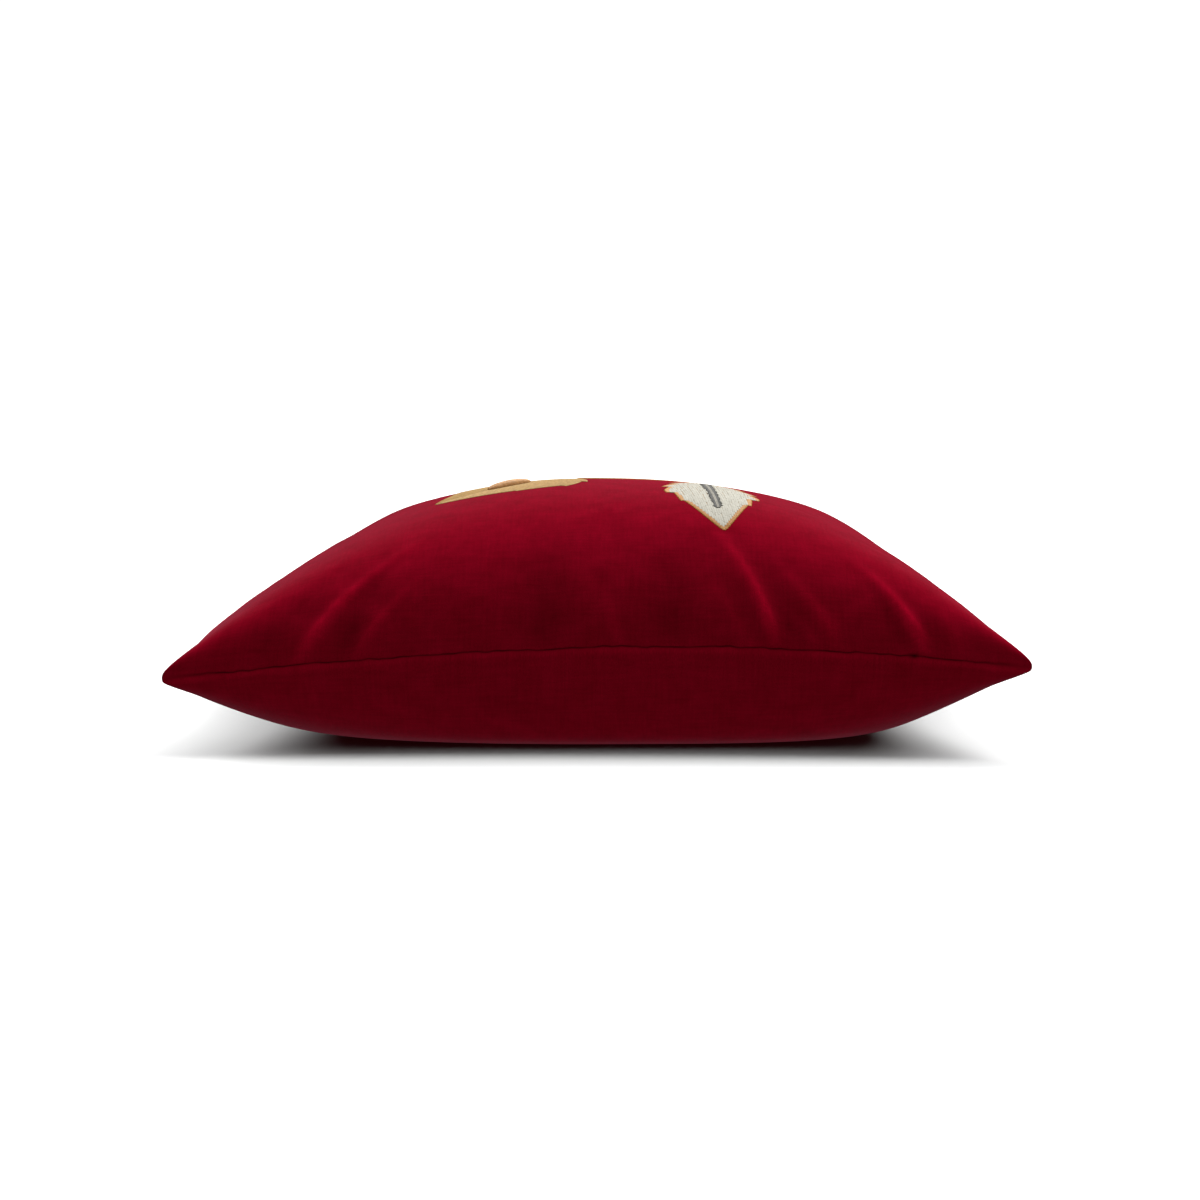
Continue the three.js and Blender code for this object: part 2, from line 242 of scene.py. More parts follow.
def falls_at(u, v, falls, corner_fill=0.0):
    """The falls across and along a panel, each with a shape of its own on either side."""
    across = np.where(u < 0, fall(u, falls["left"], corner_fill), fall(u, falls["right"], corner_fill))
    along = np.where(v < 0, fall(v, falls["front"], corner_fill), fall(v, falls["back"], corner_fill))
    return across, along


def meeting(a, b, squareness):
    """Joins two falls: near a side its own fall rules, and they meet in soft ridges to the corners."""
    spread = a**squareness + b**squareness - (a * b) ** squareness
    return a * b / np.maximum(spread, 1e-12) ** (1 / squareness)


def seam_level(u, v):
    """Height of the seam, also between the sides, where the crown and the belly start from it."""
    arch_u = 1 - np.abs(shifted(u, SEAM_PEAK)) ** SEAM_POWER
    arch_v = 1 - np.abs(v) ** SEAM_POWER
    arch = arch_u * v * v + arch_v * u * u + (1 - u * u) * (1 - v * v)
    return among_corners(CORNER_LEVEL, u, v) + SEAM_RISE * arch


def plan(u, v):
    """Places in plan: the sides are drawn in between the corners, and the corners are rounded off."""
    nose = CORNER_NOSE * np.abs(u * v) ** NOSE_POWER

    def along(s, other):
        draw_in = SIDE_DRAW_IN * (1 - np.abs(other) ** DRAW_IN_POWER) * s * s
        return s * (HALF_SPAN - draw_in - nose)

    return along(u, v), along(v, u)


def folds(u, v):
    """How high the soft folds lift the panel."""
    lift = np.zeros_like(u)
    depths = {"front": 1 + v, "back": 1 - v, "left": 1 + u, "right": 1 - u}
    for side, at, lean, reach, width, height in FOLDS:
        along = (u if side in ("front", "back") else v) * HALF_SPAN
        depth = depths[side] * HALF_SPAN
        share = np.clip(depth / reach, 0, 1)
        off = along - at - lean * share
        rise = 1 - np.clip(1 - depth / FOLD_RISE, 0, 1) ** 2
        swell = rise * (1 - share) ** FOLD_FADE
        lift += height * swell * bell(off / width)
    return lift


def unevenness(u, v):
    """How high the folds and the lumps of the filling lift the upper panel."""
    lift = folds(u, v)
    for x, y, radius, height in SWELLS:
        away = np.hypot(u * HALF_SPAN - x, v * HALF_SPAN - y) / radius
        lift += height * bell(away)
    return lift


# The wrinkles of the upper and the lower panel, empty until the cloth simulation has run.
WRINKLES = []


def between(a, b, c, d, part):
    """A smooth curve through four values, at a part of the way from b to c."""
    rest = part * (3 * (b - c) + d - a)
    return b + part / 2 * (c - a + part * (2 * a - 5 * b + 4 * c - d + rest))


def settled(u, v, panel):
    """How the kept wrinkles move the points of a panel, 0 for the upper and 1 for the lower one."""
    if not WRINKLES:
        return 0.0
    table = WRINKLES[panel]
    cells = len(table) - 1
    places = [np.clip((share + 1) / 2 * cells, 0, cells) for share in (u, v)]
    low = [np.minimum(place.astype(int), cells - 1) for place in places]
    weights = []
    for place, start in zip(places, low):
        part = (place - start)[..., None]
        before, after = np.maximum(start - 1, 0), np.minimum(start + 2, cells)
        weights.append((before, start, start + 1, after, part))
    rows = []
    for row in weights[0][:4]:
        a, b, c, d = (table[row, column] for column in weights[1][:4])
        rows.append(between(a, b, c, d, weights[1][4]))
    return between(*rows, weights[0][4])


def crown(u, v):
    """Points of the upper panel, without its seam."""
    dome = meeting(*falls_at(shifted(u, CROWN_PEAK), v, CROWN_FALL), CROWN_SQUARENESS)
    x, y = plan(u, v)
    z = seam_level(u, v) + CROWN_HEIGHT * dome + unevenness(u, v)
    return np.stack([x, y, z], -1) + settled(u, v, 0)


def belly(u, v):
    """Points of the lower panel, which rests flat on the floor."""
    corner = among_corners(BELLY_CORNER_FILL, u, v) * (u * v) ** 2
    across, along = falls_at(u, v, BELLY_FALL, corner)
    hanging = seam_level(u, v) - BELLY_DEPTH * across * along
    soft = (hanging + FLOOR_SOFTNESS) ** 2 / (4 * FLOOR_SOFTNESS)
    z = np.where(hanging >= FLOOR_SOFTNESS, hanging, np.where(hanging <= -FLOOR_SOFTNESS, 0, soft))
    x, y = plan(u, v)
    return np.stack([x, y, z], -1) + settled(u, v, 1)


def normals_of(surface, u, v, step=0.002):
    """Unit normals of a surface, from short steps that stay inside the panel."""
    low_u, high_u = np.maximum(u - step, -1), np.minimum(u + step, 1)
    low_v, high_v = np.maximum(v - step, -1), np.minimum(v + step, 1)
    along_u = surface(high_u, v) - surface(low_u, v)
    along_v = surface(u, high_v) - surface(u, low_v)
    normal = np.cross(along_u, along_v)
    return normal / np.maximum(np.linalg.norm(normal, axis=-1, keepdims=True), 1e-9)


# Mesh helpers


def new_object(name, points, quads, material, uv=None, values=None, smooth=True):
    """A mesh object from points in millimetres and four-cornered faces."""
    mesh = bpy.data.meshes.new(name)
    points = np.asarray(points, dtype=np.float64).reshape(-1, 3) * MM
    quads = np.asarray(quads, dtype=np.int32).reshape(-1, 4)
    mesh.vertices.add(len(points))
    mesh.vertices.foreach_set("co", points.ravel())
    mesh.loops.add(quads.size)
    mesh.loops.foreach_set("vertex_index", quads.ravel())
    mesh.polygons.add(len(quads))
    mesh.polygons.foreach_set("loop_start", np.arange(0, quads.size, 4, dtype=np.int32))
    mesh.polygons.foreach_set("loop_total", np.full(len(quads), 4, dtype=np.int32))
    mesh.polygons.foreach_set("use_smooth", np.array(np.broadcast_to(smooth, len(quads))))
    mesh.update(calc_edges=True)
    mesh.validate()
    if uv is not None:
        layer = mesh.uv_layers.new(name="cloth")
        layer.data.foreach_set("uv", np.asarray(uv, dtype=np.float32)[quads.ravel()].ravel())
    for key, numbers in (values or {}).items():
        attribute = mesh.attributes.new(key, "FLOAT", "POINT")
        attribute.data.foreach_set("value", np.asarray(numbers, dtype=np.float32).ravel())
    mesh.materials.append(material)
    piece = bpy.data.objects.new(name, mesh)
    bpy.context.collection.objects.link(piece)
    return piece


def grid_faces(grid):
    """The faces between the points of a grid, from their indices."""
    a, b, c, d = grid[:-1, :-1], grid[1:, :-1], grid[1:, 1:], grid[:-1, 1:]
    return np.stack([a, b, c, d], -1).reshape(-1, 4)


def two_panels(n):
    """Which points of an n by n panel lie off its rim, and the faces of two panels sharing that rim."""
    index = np.arange(n * n).reshape(n, n)
    inner = np.zeros((n, n), bool)
    inner[1:-1, 1:-1] = True
    inner = inner.ravel()
    under_index = index.copy().ravel()
    under_index[inner] = n * n + np.arange(inner.sum())
    quads = [grid_faces(index), grid_faces(under_index.reshape(n, n))[:, ::-1]]
    return inner, np.concatenate(quads)


# Materials


class Nodes:
    """A material's nodes, made and linked by short calls."""

    def __init__(self, name):
        self.material = bpy.data.materials.new(name)
        self.material.use_nodes = True
        self.tree = self.material.node_tree
        self.shader = self.tree.nodes["Principled BSDF"]

    def add(self, kind, **settings):
        node = self.tree.nodes.new(kind)
        for key, value in settings.items():
            setattr(node, key, value)
        return node

    def link(self, source, target):
        self.tree.links.new(source, target)

    def set(self, **values):
        for key, value in values.items():
            self.shader.inputs[key.replace("_", " ")].default_value = value

    def coordinates(self, kind, scale):
        """Texture coordinates of one kind, stretched by a scale of three numbers per metre."""
        source = self.add("ShaderNodeTexCoord")
        mapping = self.add("ShaderNodeMapping")
        mapping.inputs["Scale"].default_value = scale
        self.link(source.outputs[kind], mapping.inputs["Vector"])
        return mapping.outputs["Vector"]

    def noise(self, vector, scale, detail=2.0, roughness=0.5):
        node = self.add("ShaderNodeTexNoise")
        node.inputs["Scale"].default_value = scale
        node.inputs["Detail"].default_value = detail
        node.inputs["Roughness"].default_value = roughness
        self.link(vector, node.inputs["Vector"])
        return node.outputs["Fac"]

    def ramp(self, value, *stops):
        node = self.add("ShaderNodeValToRGB")
        elements = node.color_ramp.elements
        while len(elements) < len(stops):
            elements.new(0.5)
        for element, (place, colour) in zip(elements, stops):
            element.position = place
            element.color = (*colour, 1.0)
        self.link(value, node.inputs["Fac"])
        return node.outputs["Color"]

    def blend(self, a, b, factor, mode="MIX"):
        node = self.add("ShaderNodeMix", data_type="RGBA", blend_type=mode)
        for socket, value in zip((node.inputs[6], node.inputs[7], node.inputs[0]), (a, b, factor)):
            if hasattr(value, "links"):
                self.link(value, socket)
            elif isinstance(value, (int, float)):
                socket.default_value = value
            else:
                socket.default_value = (*value, 1.0)
        return node.outputs[2]

    def math(self, operation, a, b=0.0):
        node = self.add("ShaderNodeMath", operation=operation)
        for socket, value in zip(node.inputs, (a, b)):
            if hasattr(value, "links"):
                self.link(value, socket)
            else:
                socket.default_value = value
        return node.outputs[0]

    def bump(self, height, strength, distance):
        node = self.add("ShaderNodeBump")
        node.inputs["Strength"].default_value = strength
        node.inputs["Distance"].default_value = distance
        self.link(height, node.inputs["Height"])
        self.link(node.outputs["Normal"], self.shader.inputs["Normal"])


def grey(level):
    return (level, level, level)


# Velvet: how many blotches, threads and tufts of pile there are to a metre, and its colours.
BLOTCH_SCALE = 60
WEAVE_SCALE = 620
PILE_SCALE = 1700
CRIMSON_DEEP = (0.162, 0.0005, 0.0066)
CRIMSON_BRIGHT = (0.228, 0.001, 0.011)
# The seam's dark colour: partly the parted pile, partly painted shade in its groove.
SEAM_SHADE_COLOUR = (0.012, 0.0002, 0.001)
SHEEN_TINT = (0.7, 0.76, 1.0, 1.0)


def velvet():
    """Crimson pile with soft blotches and a faint weave, with painted highlights on fold crests and the
    lower panel's lip, painted shade in fold hollows, and dark in the seam, partly with painted shade.
    """
    m = Nodes("crimson_velvet")
    cloth = m.coordinates("UV", (1, 1, 1))
    warp = m.coordinates("UV", (1, 0.08, 1))
    weft = m.coordinates("UV", (0.08, 1, 1))
    blotches = m.noise(cloth, BLOTCH_SCALE, detail=6, roughness=0.7)
    colour = m.ramp(blotches, (0.25, CRIMSON_DEEP), (0.75, CRIMSON_BRIGHT))
    weave = m.math("ADD", m.noise(warp, WEAVE_SCALE), m.noise(weft, WEAVE_SCALE))
    weave = m.math("MULTIPLY", weave, 0.5)
    woven = m.ramp(weave, (0.3, grey(0.86)), (0.7, grey(1.12)))
    colour = m.blend(colour, woven, 1.0, "MULTIPLY")
    grain = m.noise(cloth, PILE_SCALE, roughness=0.6)
    grained = m.ramp(grain, (0.3, grey(0.84)), (0.7, grey(1.16)))
    colour = m.blend(colour, grained, 1.0, "MULTIPLY")
    # Painted light: lighter on fold crests and on the lower panel's lip, darker in fold hollows.
    painted_light = m.add("ShaderNodeAttribute", attribute_name="painted_light").outputs["Fac"]
    painted_light_gain = m.math("ADD", m.math("MULTIPLY", painted_light, 0.3), 0.5)
    painted_light_gain = m.ramp(painted_light_gain, (0.2, grey(0.6)), (0.5, grey(1.0)), (0.8, grey(2.0)))
    colour = m.blend(colour, painted_light_gain, 1.0, "MULTIPLY")
    # The seam's dark line, partly painted shade in its groove, and painted shade in the pinches.
    shade = m.add("ShaderNodeAttribute", attribute_name="shade").outputs["Fac"]
    colour = m.blend(colour, SEAM_SHADE_COLOUR, shade)
    m.link(colour, m.shader.inputs["Base Color"])
    m.set(Roughness=1.0, Specular_IOR_Level=0.0, Sheen_Weight=0.09, Sheen_Roughness=0.235)
    m.set(Sheen_Tint=SHEEN_TINT)
    pile = m.math("ADD", m.math("MULTIPLY", grain, 0.6), m.math("MULTIPLY", weave, 0.5))
    m.bump(pile, strength=0.25, distance=0.0006)
    return m.material


# Fibres of a thread to a metre.
FIBRE_SCALE = 2400


def thread(name, dark, light, roughness, gloss=0.03):
    """Stitched thread: each stitch has its own shade, with fine twisted fibres along it."""
    m = Nodes(name)
    shade = m.add("ShaderNodeAttribute", attribute_name="shade").outputs["Fac"]
    place = m.coordinates("Object", (1, 1, 1))
    fibres = m.noise(place, FIBRE_SCALE, roughness=0.6)
    mixed = m.math("ADD", m.math("MULTIPLY", shade, 0.75), m.math("MULTIPLY", fibres, 0.3))
    m.link(m.ramp(mixed, (0.1, dark), (0.95, light)), m.shader.inputs["Base Color"])
    m.set(Roughness=roughness, Specular_IOR_Level=gloss)
    m.bump(fibres, strength=0.2, distance=0.0003)
    return m.material


VELVET = velvet()
IVORY = thread("ivory_thread", (0.35, 0.334, 0.277), (0.405, 0.388, 0.326), 0.7)
TAN = thread("tan_backing", (0.34, 0.21, 0.1), (0.38, 0.24, 0.12), 0.8)
GOLD = thread("gold_thread", (0.37, 0.158, 0.026), (0.48, 0.22, 0.042), 0.6)
GOLD_FILL = thread("gold_fill_thread", (0.285, 0.162, 0.04), (0.42, 0.25, 0.072), 0.65)
COPPER = thread("copper_thread", (0.66, 0.37, 0.16), (0.82, 0.49, 0.22), 0.5, gloss=0.06)
LIGHT_GREY = thread("light_grey_thread", (0.2, 0.188, 0.155), (0.3, 0.28, 0.235), 0.7)
DARK_GREY = thread("dark_grey_thread", (0.045, 0.044, 0.038), (0.1, 0.095, 0.085), 0.7)


# The stuffed cover


def grid_shares():
    """Shares across a panel, close together at the seams and even between."""
    inside = SEAM_RINGS[-1]
    cells = round(2 * (HALF_SPAN - inside) / CELL)
    even = np.linspace(inside, 2 * HALF_SPAN - inside, cells + 1)
    edge = np.array((0.0,) + SEAM_RINGS[:-1])
    places = np.concatenate([edge, even, 2 * HALF_SPAN - edge[::-1]])
    return places / HALF_SPAN - 1


def pinched(u, v):
    """How much a fold pinches the seam, from 0 to 1."""
    depths = {"front": 1 + v, "back": 1 - v, "left": 1 + u, "right": 1 - u}
    pinch = np.zeros_like(u)
    for side, at in PINCHES:
        along = (u if side in ("front", "back") else v) * HALF_SPAN
        near = depths[side] * HALF_SPAN < PINCH_REACH
        pinch = np.maximum(pinch, near * bell((along - at) / PINCH_WIDTH))
    return pinch


def seam_shape(u, v, points, normals):
    """Puffs a panel out beside its seam, draws the sewn line in, and thickens the tips.

    Returns the points, their distance from the seam, and how dark the line is drawn, partly as the
    parted pile and partly as painted shade in the groove, with painted shade in the pinches.
    """
    from_x, from_y = HALF_SPAN * (1 - np.abs(u)), HALF_SPAN * (1 - np.abs(v))
    away = np.hypot(np.minimum(from_x, from_y), points[:, 2] - seam_level(u, v))
    tip = np.clip(1 - np.hypot(from_x, from_y) / TIP_REACH, 0, 1)
    tip = tip * tip * (3 - 2 * tip)
    around = np.where(np.abs(u) > np.abs(v), v, u) * HALF_SPAN
    pinch = pinched(u, v)
    puff = SEAM_PUFF * (1 - np.exp(-away / PUFF_RISE)) * np.exp(-away / PUFF_FADE) * (1 - tip)
    nose = TIP_THICKNESS * tip * np.sqrt(1 - (1 - np.minimum(away / TIP_ROUND, 1)) ** 2)
    drawn = SEAM_GROOVE * bell(away / SEAM_WIDTH) * (1 - tip)
    drawn += PINCH_DEPTH * pinch * bell(away / PINCH_WIDTH)
    inward = -points * [1, 1, 0]
    inward /= np.maximum(np.linalg.norm(inward, axis=-1, keepdims=True), 1e-9)
    shaped = points + normals * puff[:, None] + inward * drawn[:, None]
    shaped[:, 2] += nose * np.sign(normals[:, 2])
    wave = SEAM_WAVE * waves(around, SEAM_WAVES)
    shaped[:, 2] += wave * np.exp(-away / SEAM_WAVE_FADE) * (1 - tip)
    # The dark line: partly the parted pile, partly painted shade in the groove, fading at the tips, and
    # painted shade where a fold pinches the seam.
    uneven = waves(around, DARKNESS_WAVES)
    dark = SEAM_DARKNESS * uneven * bell(away / SEAM_WIDTH) * (1 - TIP_PALENESS * tip)
    dark = np.maximum(dark, pinch * bell(away / PINCH_SHADOW))
    return shaped, away, dark


def cushion():
    """The velvet cover: both panels in one mesh, with the darkness of the seam, partly painted shade,
    and painted light on the folds and on the lower panel's lip.
    """
    shares = grid_shares()
    u, v = (g.ravel() for g in np.meshgrid(shares, shares, indexing="ij"))
    top, _, dark = seam_shape(u, v, crown(u, v), normals_of(crown, u, v))
    under, away, under_dark = seam_shape(u, v, belly(u, v), -normals_of(belly, u, v))
    under[:, 2] = np.maximum(under[:, 2], 0)
    inner, quads = two_panels(len(shares))
    points = np.concatenate([top, under[inner]])
    shade = np.concatenate([dark, under_dark[inner]])
    # Painted highlight on the lower panel's lip, and painted highlights and shade on the upper panel's
    # folds, strongest at the front.
    lip = LIP_HIGHLIGHT * bell((away - LIP_PLACE) / LIP_WIDTH)
    fold_light_weight = np.clip(FOLD_LIGHT_MIDDLE - FOLD_LIGHT_FRONT * v, FOLD_LIGHT_LEAST, 1)
    painted_light = np.concatenate([np.clip(folds(u, v) / FOLD_LIGHT_FULL, -1, 1) * fold_light_weight, lip[inner]])
    cloth = np.stack([u, v], -1) * HALF_SPAN * MM
    uv = np.concatenate([cloth, cloth[inner] + UNDER_CLOTH_SHIFT])
    return new_object("velvet_cover", points, quads, VELVET, uv, {"shade": shade, "painted_light": painted_light})


def blurred(table, reach):
    """A table averaged over its neighbours, as if all beyond its rim lay still."""
    kernel = bell(np.arange(-2 * reach, 2 * reach + 1) / reach)
    kernel /= kernel.sum()
    for axis in (0, 1):
        table = np.apply_along_axis(lambda row: np.convolve(row, kernel, "same"), axis, table)
    return table


def simulated(start, quads, held):
    """Where the points of a cover come to lie in a cloth simulation, with some of them held."""
    piece = new_object("settling", start, quads, VELVET)
    group = piece.vertex_groups.new(name="held")
    group.add([int(i) for i in held], 1.0, "REPLACE")
    cloth = piece.modifiers.new("cloth", "CLOTH")
    cloth.collision_settings.use_collision = False
    for key, value in SETTLE_CLOTH.items():
        setattr(cloth.settings, key, value)
    cloth.settings.vertex_group_mass = group.name
    cloth.settings.effector_weights.gravity = 0
    scene = bpy.context.scene
    for number in range(1, SETTLE_FRAMES + 1):
        scene.frame_set(number)
    shaped = piece.evaluated_get(bpy.context.evaluated_depsgraph_get()).to_mesh()
    end = np.empty(len(start) * 3)
    shaped.vertices.foreach_get("co", end)
    scene.frame_set(1)
    bpy.data.meshes.remove(piece.data)
    return end.reshape(-1, 3) / MM


def settle():
    """Lets the cover, cut a little too large and blown up, wrinkle in a cloth simulation.

    Its seam and its resting face are held. Only its fine wrinkles are kept, so that the form stays
    that of the solid.
    """
    shares = np.linspace(-1, 1, SETTLE_CELLS + 1)
    n = len(shares)
    u, v = (g.ravel() for g in np.meshgrid(shares, shares, indexing="ij"))
    top, under = crown(u, v), belly(u, v)
    inner, quads = two_panels(n)
    start = np.concatenate([top, under[inner]])
    rim = np.flatnonzero(~inner)
    resting = n * n + np.flatnonzero(under[inner][:, 2] < SETTLE_HELD_UNDER)
    moved = simulated(start, quads, np.concatenate([rim, resting])) - start
    below = np.zeros((n * n, 3))
    below[inner] = moved[n * n :]
    below *= np.clip(under[:, 2:] / SETTLE_CALM_FLOOR, 0, 1)
    from_tip = HALF_SPAN * np.hypot(1 - np.abs(u), 1 - np.abs(v)).reshape(n, n, 1)
    kept = SETTLE_KEPT * np.clip(from_tip / SETTLE_CALM_TIP, 0, 1) ** 2
    tables = []
    for table in (moved[: n * n], below):
        table = table.reshape(n, n, 3)
        broad = np.stack([blurred(table[..., axis], SETTLE_BROAD) for axis in range(3)], -1)
        fine = (table - broad) * kept
        fine[[0, -1]] = 0
        fine[:, [0, -1]] = 0
        size = np.linalg.norm(fine, axis=-1, keepdims=True)
        tables.append(fine * SETTLE_CAP * np.tanh(size / SETTLE_CAP) / np.maximum(size, 1e-9))
    return tables


WRINKLES = settle()
cover = cushion()
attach(cover, "root")
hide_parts("cushion")


# Needlework


def over_cloth(x, y, lift):
    """Points over the upper panel, and its normals there."""
    u, v = x / HALF_SPAN, y / HALF_SPAN
    normals = normals_of(crown, u, v)
    return crown(u, v) + normals * np.asarray(lift)[..., None], normals


# A stitch's section, from one foot over its top to the other: shares of its width and height.
SECTION = ((0.5, 0.42, 0.17, -0.17, -0.42, -0.5), (0.0, 0.6, 1.0, 1.0, 0.6, 0.0))
RING = len(SECTION[0])

# Profiles along a stitch: the places of its five sections, and their shares of its full height. A
# section without height would still have the end's share of the width.
STATIONS = 5
END_BREADTH = 0.6
FLAT = ((0.0, 0.06, 0.5, 0.94, 1.0), (0.7, 0.85, 1.0, 0.85, 0.7))
SLOPED = ((0.0, 0.25, 0.5, 0.85, 1.0), (0.3, 0.8, 1.0, 0.9, 0.5))
DOMED = ((0.0, 0.12, 0.5, 0.88, 1.0), (0.08, 0.6, 1.0, 0.6, 0.08))


def stitches(name, starts, ends, material, width, height, lift, profile=FLAT):
    """Raised stitches from starts to ends in plan, each closed and with a shade of its own."""
    starts, ends = np.asarray(starts, float), np.asarray(ends, float)
    count = len(starts)
    width = np.broadcast_to(width, (count,))[:, None, None]
    height = np.broadcast_to(height, (count,))[:, None, None]
    lift = np.broadcast_to(lift, (count,))[:, None]
    along, full = (np.array(row) for row in profile)
    broad = mix(END_BREADTH, 1, full)
    path = starts[:, None, :] + (ends - starts)[:, None, :] * along[None, :, None]
    centre, normal = over_cloth(path[..., 0], path[..., 1], np.broadcast_to(lift, path.shape[:2]))
    ahead = centre[:, -1:] - centre[:, :1]
    side = np.cross(np.broadcast_to(ahead, normal.shape), normal)
    side /= np.maximum(np.linalg.norm(side, axis=-1, keepdims=True), 1e-9)
    across, above = (np.array(row)[None, None, :, None] for row in SECTION)
    out = across * side[:, :, None, :] * (width * broad[None, :, None])[..., None]
    up = above * normal[:, :, None, :] * (height * full[None, :, None])[..., None]
    points = centre[:, :, None, :] + out + up
    ring = np.arange(RING)
    after = (ring + 1) % RING
    quads = []
    for s in range(STATIONS - 1):
        low, high = s * RING, (s + 1) * RING
        quads.append(np.stack([low + ring, high + ring, high + after, low + after], -1))
    last = (STATIONS - 1) * RING
    quads.append(np.array([[0, 1, 2, 3], [0, 3, 4, 5]]))
    quads.append(np.array([[last + 3, last + 2, last + 1, last], [last + 5, last + 4, last + 3, last]]))
    quads = np.concatenate(quads)
    rounded = np.zeros(len(quads), bool)
    rounded[: (STATIONS - 1) * RING] = np.tile(ring < RING - 1, STATIONS - 1)
    offsets = (np.arange(count) * STATIONS * RING)[:, None, None]
    shade = np.repeat(rng.random(count), STATIONS * RING)
    smooth = np.tile(rounded, count)
    return new_object(name, points, quads[None] + offsets, material, None, {"shade": shade}, smooth)


# Leaves of the sprig: root, heading in degrees, length, stalk, half width, sweep, teeth on a side.
LEAVES = {
    "ivory_front": ((66, 36), -89, 197, 35, 28.5, 5, 4),
    "gold_left": ((-14.5, 22), 240, 118, 8, 46, -30, 3),
    "ivory_back_left": ((3, 29.5), 138, 138, 24, 23, -9, 4),
    "gold_back": ((31, 33.5), 96, 126, 22, 22, 7, 4),
    "ivory_back_right": ((72, 47.5), 57, 128, 20, 23, 8, 4),
}
WIDEST = 0.5
BASE_BOW = 0.8
TAPER = 0.8
TOOTHED = (0.1, 0.7)
TOOTH_DEPTH = 4.5
STALK_HALF_WIDTH = 1.6
TIP_HALF_WIDTH = 0.7
STALK_JOIN = 3.6

# Lifts of the layers of thread over the cloth.
CLOTH_GAP = 0.1
BACKING_LIFT = CLOTH_GAP + 0.05
FILL_LIFT = CLOTH_GAP + 0.03
BORDER_LIFT = CLOTH_GAP - 0.04
VEIN_EDGE_LIFT = CLOTH_GAP + 0.2
VEIN_LIFT = CLOTH_GAP + 0.32
BUD_LIFT = CLOTH_GAP + 0.35

# Form of the stitches of each kind. The ivory ones vary in width, by a mean and a spread.
IVORY_WIDTH = (1.72, 0.06)
IVORY_STITCH = {"height": 0.2, "lift": FILL_LIFT}
GOLD_STITCH = {"width": 0.9, "height": 0.22, "lift": FILL_LIFT}
BORDER_STITCH = {"width": 0.7, "height": 0.24, "lift": BORDER_LIFT, "profile": SLOPED}
VEIN_EDGE_STITCH = {"width": 0.85, "height": 0.25, "lift": VEIN_EDGE_LIFT}
VEIN_STITCH = {"width": 0.9, "height": 0.3, "lift": VEIN_LIFT}
BUD_STITCH = {"width": 0.72, "lift": BUD_LIFT, "profile": DOMED}
STEM_STITCH = {"width": 0.7, "height": 0.8, "lift": CLOTH_GAP, "profile": DOMED}

# Fills and borders: the space between rows or stitches, a stitch's length, the rim that a fill leaves
# free, the slant of the gold rows, and the width of a border.
IVORY_ROWS = {"pitch": 1.75, "length": 11.0, "inset": 2.6}
GOLD_ROWS = {"pitch": 0.9, "length": 4.5, "inset": 1.0, "slant": math.radians(38)}
IVORY_BORDER = {"pitch": 0.42, "width": 3.0}
GOLD_BORDER = {"pitch": 0.45, "width": 1.6}
FILL_TIP_GAP = 2.0

# Ivory rows draw together towards the tip and wobble by a share of their pitch. Their stitches overlap,
# and vary in length by shares of it, the first ones of a row most.
ROW_CONVERGENCE = 0.25
ROW_WOBBLE = 0.08
ROW_OVERLAP = 0.3
FIRST_LENGTHS = (0.3, 1.0)
IVORY_LENGTHS = (0.75, 1.25)
SHORTEST_IVORY = 1.2
SHORTEST_REST = 2.5

# Gold rows begin before the blade and may reach past its rim, by half widths of the leaf, and are cut
# off there. Their first stitches are staggered, by shares of a stitch's length.
GOLD_LEAD = 2.0
GOLD_REACH = 2.2
GOLD_STAGGER = (0.35, 0.6, 0.85)
GOLD_LENGTHS = (0.9, 1.1)
SHORTEST_GOLD = 0.8

# Border stitches lean, vary in width by shares of it, and are a little ragged on the outside.
BORDER_LEAN = 0.9
BORDER_WIDTHS = (0.9, 1.1)
BORDER_RAGGED = (0.0, 0.3)
BORDER_PAST_MIDDLE = 0.5
BORDER_PAST_TIP = 0.2

# The patch under a leaf's stitches starts at a share of the stalk and is never narrower than its least
# half width.
BACKING_THICKNESS = 0.18
BACKING_STALK = 0.7
BACKING_TIP_GAP = 1.0
BACKING_LEAST = 0.4
BACKING_ROWS = 120
BACKING_COLUMNS = 9

# A vein's span is in shares of the blade. It narrows towards the tip, and its edge stitches lean there.
VEIN_SPAN = (0.1, 0.78)
VEIN_NARROWING = (0.9, 0.75)
VEIN_END_SHARE = 0.35
VEIN_END_LENGTH = 12.0
VEIN_EDGE_PITCH = 0.8
VEIN_EDGE_START = 0.7
VEIN_EDGE_REACH = (1.8, 4.2)
VEIN_EDGE_LEAN = 1.2
VEIN_ROWS = (-0.5, 0.5)
VEIN_LENGTHS = (4.5, 7.5)
VEIN_SHORTEST = 2.0
VEIN_OVERLAP = 0.4

# A bud's span is in shares of the blade too.
BUD_SPAN = (0.36, 0.66)
BUD_PITCH = 0.55
BUD_HALF_WIDTH = 5.2
BUD_RISE = 3.4
BUD_BLUNTNESS = 0.03
BUD_FULLNESS = 0.35
BUD_LEAN = 0.8

# The stem's start, bend and end in plan, and its half width at the start and after a third.
STEM_ROUTE = ((136.0, 70.0), (60.0, 30.0), (-12.0, 24.0))
STEM_STITCHES = 270
STEM_HALF_WIDTH = (3.0, 2.0)
STEM_NARROWED = 1 / 3
STEM_LEAN = 1.0


